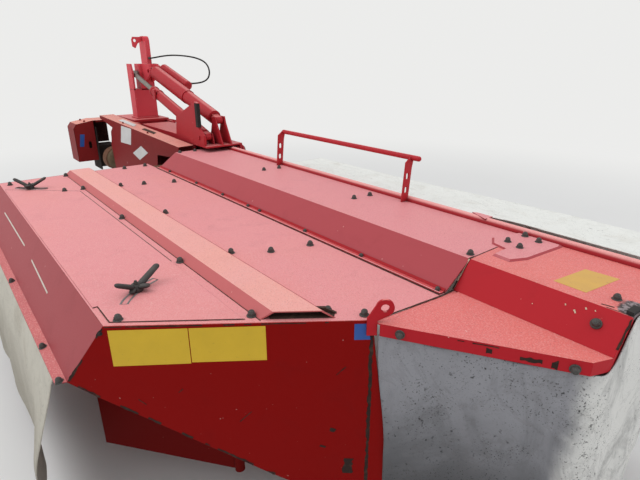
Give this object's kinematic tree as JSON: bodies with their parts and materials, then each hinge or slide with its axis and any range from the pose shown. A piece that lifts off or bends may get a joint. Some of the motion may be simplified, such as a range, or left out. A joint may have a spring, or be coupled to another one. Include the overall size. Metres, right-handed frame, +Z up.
{
  "type": "disc mower conditioner",
  "caption": "Side-mounted disc mower with a tined conditioner rotor, canvas guards and a three-point headstock; lifts on a hydraulic cylinder.",
  "frame": {"origin": "centre of the parking stand's foot, on the floor", "axes": "+X outwards along the mower, +Y the driving direction, +Z up"},
  "size_m": [5.142, 2.19, 1.955],
  "materials": {
    "red_paint": "sun-faded red paint, chalky and pink on top faces",
    "dark_red_paint": "worn dark red paint with rust",
    "canvas": "off-white coated canvas, dirty and creased",
    "black_plastic": "moulded black plastic",
    "steel": "worn bare steel with rust",
    "chrome": "plated rod, dusty",
    "cast_iron": "rusty cast iron"
  },
  "bodies": {
    "headstock": {"headstock_frame": "red_paint", "post": "red_paint", "mast": "red_paint", "headstock_gearbox": "cast_iron", "gearbox_guard": "red_paint", "pressure_store": "red_paint", "arm_pivot_pin": "steel"},
    "stand": {"parking_stand": "red_paint"},
    "arm": {"carrying_arm": "red_paint", "stop_plate": "red_paint", "drive_cover": "red_paint"},
    "lift_barrel": {"lift_barrel": "red_paint"},
    "lift_rod": {"lift_rod": "chrome"},
    "spring_tube": {"spring_tube": "red_paint"},
    "spring_inner": {"spring_inner_tube": "red_paint"},
    "shaft_inner": {"drive_shaft_inner": "cast_iron"},
    "shaft_outer": {"drive_shaft_outer": "steel"},
    "mower": {"carry_lug": "red_paint", "float_pin": "steel", "frame_beam": "red_paint", "inner_leg": "red_paint", "outer_leg": "red_paint", "cutterbar": "dark_red_paint", "skids": "dark_red_paint", "rear_deck": "red_paint", "deck_channel": "red_paint", "rear_panel": "red_paint", "outer_end_plate": "red_paint", "inner_end_plate": "red_paint", "front_hood": "red_paint", "front_inner_wall": "red_paint", "wing": "red_paint", "wing_ledge": "red_paint", "front_tube": "red_paint", "guard_bar": "red_paint", "guard_hinges": "steel", "lifting_eye": "red_paint", "mower_gearbox": "cast_iron", "rotor_bracket": "red_paint", "side_canvas": "canvas", "rear_canvas": "canvas"},
    "front_guard": {"front_guard_frame": "red_paint", "front_canvas": "canvas"},
    "rotor": {"conditioner_rotor": "dark_red_paint"},
    "swath_door_outer": {"swath_door_outer": "dark_red_paint", "door_handle_outer": "black_plastic"},
    "swath_door_inner": {"swath_door_inner": "dark_red_paint", "door_handle_inner": "black_plastic"},
    "disc_1": {"disc_1": "steel"},
    "disc_2": {"disc_2": "steel"},
    "disc_3": {"disc_3": "steel"},
    "disc_4": {"disc_4": "steel"},
    "disc_5": {"disc_5": "steel"},
    "disc_6": {"disc_6": "steel"},
    "disc_7": {"disc_7": "steel"}
  },
  "joints": [
    {"name": "stand_slide", "type": "slide", "parent": "headstock", "child": "stand", "axis": [0, 0, 1], "range_m": [0, 0.3]},
    {"name": "arm_lift", "type": "hinge", "parent": "headstock", "child": "arm", "pos_m": [0.25, -0.0825, 1.095], "axis": [0, -1, 0], "range_deg": [-3, 45]},
    {"name": "mower_float", "type": "hinge", "parent": "arm", "child": "mower", "pos_m": [1.56, 0.082, 1.06], "axis": [0, -1, 0], "range_deg": [-4, 4]},
    {"name": "lift_barrel_hinge", "type": "hinge", "parent": "arm", "child": "lift_barrel", "pos_m": [1.48, -0.145, 1.18], "axis": [0, -1, 0], "range_deg": [-8.74, 0.77]},
    {"name": "lift_rod_slide", "type": "slide", "parent": "lift_barrel", "child": "lift_rod", "axis": [0.9608, 0, -0.2772], "range_m": [-0.0279, 0.3898]},
    {"name": "spring_tube_hinge", "type": "hinge", "parent": "headstock", "child": "spring_tube", "pos_m": [0.215, -0.035, 1.64], "axis": [0, -1, 0], "range_deg": [-3.16, 44.53]},
    {"name": "spring_tube_slide", "type": "slide", "parent": "spring_tube", "child": "spring_inner", "axis": [-0.9648, 0, 0.2629], "range_m": [-0.03, 0.4224]},
    {"name": "shaft_hinge", "type": "hinge", "parent": "headstock", "child": "shaft_inner", "pos_m": [-0.06, -0.467, 0.83], "axis": [0, -1, 0], "range_deg": [-2.31, 31.93]},
    {"name": "shaft_slide", "type": "slide", "parent": "shaft_inner", "child": "shaft_outer", "axis": [0.9926, 0.121, 0], "range_m": [-0.0121, 0.153]},
    {"name": "front_guard_hinge", "type": "hinge", "parent": "mower", "child": "front_guard", "pos_m": [2.3, 0.084, 1.048], "axis": [1, 0, 0], "range_deg": [0, 88]},
    {"name": "conditioner_spin", "type": "hinge", "parent": "mower", "child": "rotor", "pos_m": [2.5, -0.83, 0.47], "axis": [1, 0, 0], "continuous": true},
    {"name": "disc_1_spin", "type": "hinge", "parent": "mower", "child": "disc_1", "pos_m": [1.722, -0.3, 0.1], "axis": [0, 0, 1], "continuous": true},
    {"name": "disc_2_spin", "type": "hinge", "parent": "mower", "child": "disc_2", "pos_m": [2.15, -0.3, 0.1], "axis": [0, 0, 1], "continuous": true},
    {"name": "disc_3_spin", "type": "hinge", "parent": "mower", "child": "disc_3", "pos_m": [2.578, -0.3, 0.1], "axis": [0, 0, 1], "continuous": true},
    {"name": "disc_4_spin", "type": "hinge", "parent": "mower", "child": "disc_4", "pos_m": [3.006, -0.3, 0.1], "axis": [0, 0, 1], "continuous": true},
    {"name": "disc_5_spin", "type": "hinge", "parent": "mower", "child": "disc_5", "pos_m": [3.434, -0.3, 0.1], "axis": [0, 0, 1], "continuous": true},
    {"name": "disc_6_spin", "type": "hinge", "parent": "mower", "child": "disc_6", "pos_m": [3.862, -0.3, 0.1], "axis": [0, 0, 1], "continuous": true},
    {"name": "disc_7_spin", "type": "hinge", "parent": "mower", "child": "disc_7", "pos_m": [4.29, -0.3, 0.1], "axis": [0, 0, 1], "continuous": true},
    {"name": "swath_door_outer_hinge", "type": "hinge", "parent": "mower", "child": "swath_door_outer", "pos_m": [3.642, -1.17, 0.65], "axis": [0, 0, 1], "range_deg": [-15, 15]},
    {"name": "swath_door_inner_hinge", "type": "hinge", "parent": "mower", "child": "swath_door_inner", "pos_m": [1.262, -1.17, 0.65], "axis": [0, 0, 1], "range_deg": [-15, 15]}
  ],
  "couplings": [
    {"joint": "lift_barrel_hinge", "follows": "arm_lift", "ratio": -0.18975},
    {"joint": "lift_rod_slide", "follows": "arm_lift", "m_per_rad": 0.49375},
    {"joint": "spring_tube_hinge", "follows": "arm_lift", "ratio": 0.98519},
    {"joint": "spring_tube_slide", "follows": "arm_lift", "m_per_rad": 0.53531},
    {"joint": "shaft_hinge", "follows": "arm_lift", "ratio": 0.70512},
    {"joint": "shaft_slide", "follows": "arm_lift", "m_per_rad": 0.1923},
    {"joint": "disc_1_spin", "follows": "conditioner_spin", "ratio": 3},
    {"joint": "disc_2_spin", "follows": "conditioner_spin", "ratio": -3},
    {"joint": "disc_3_spin", "follows": "conditioner_spin", "ratio": 3},
    {"joint": "disc_4_spin", "follows": "conditioner_spin", "ratio": -3},
    {"joint": "disc_5_spin", "follows": "conditioner_spin", "ratio": 3},
    {"joint": "disc_6_spin", "follows": "conditioner_spin", "ratio": -3},
    {"joint": "disc_7_spin", "follows": "conditioner_spin", "ratio": 3}
  ]
}
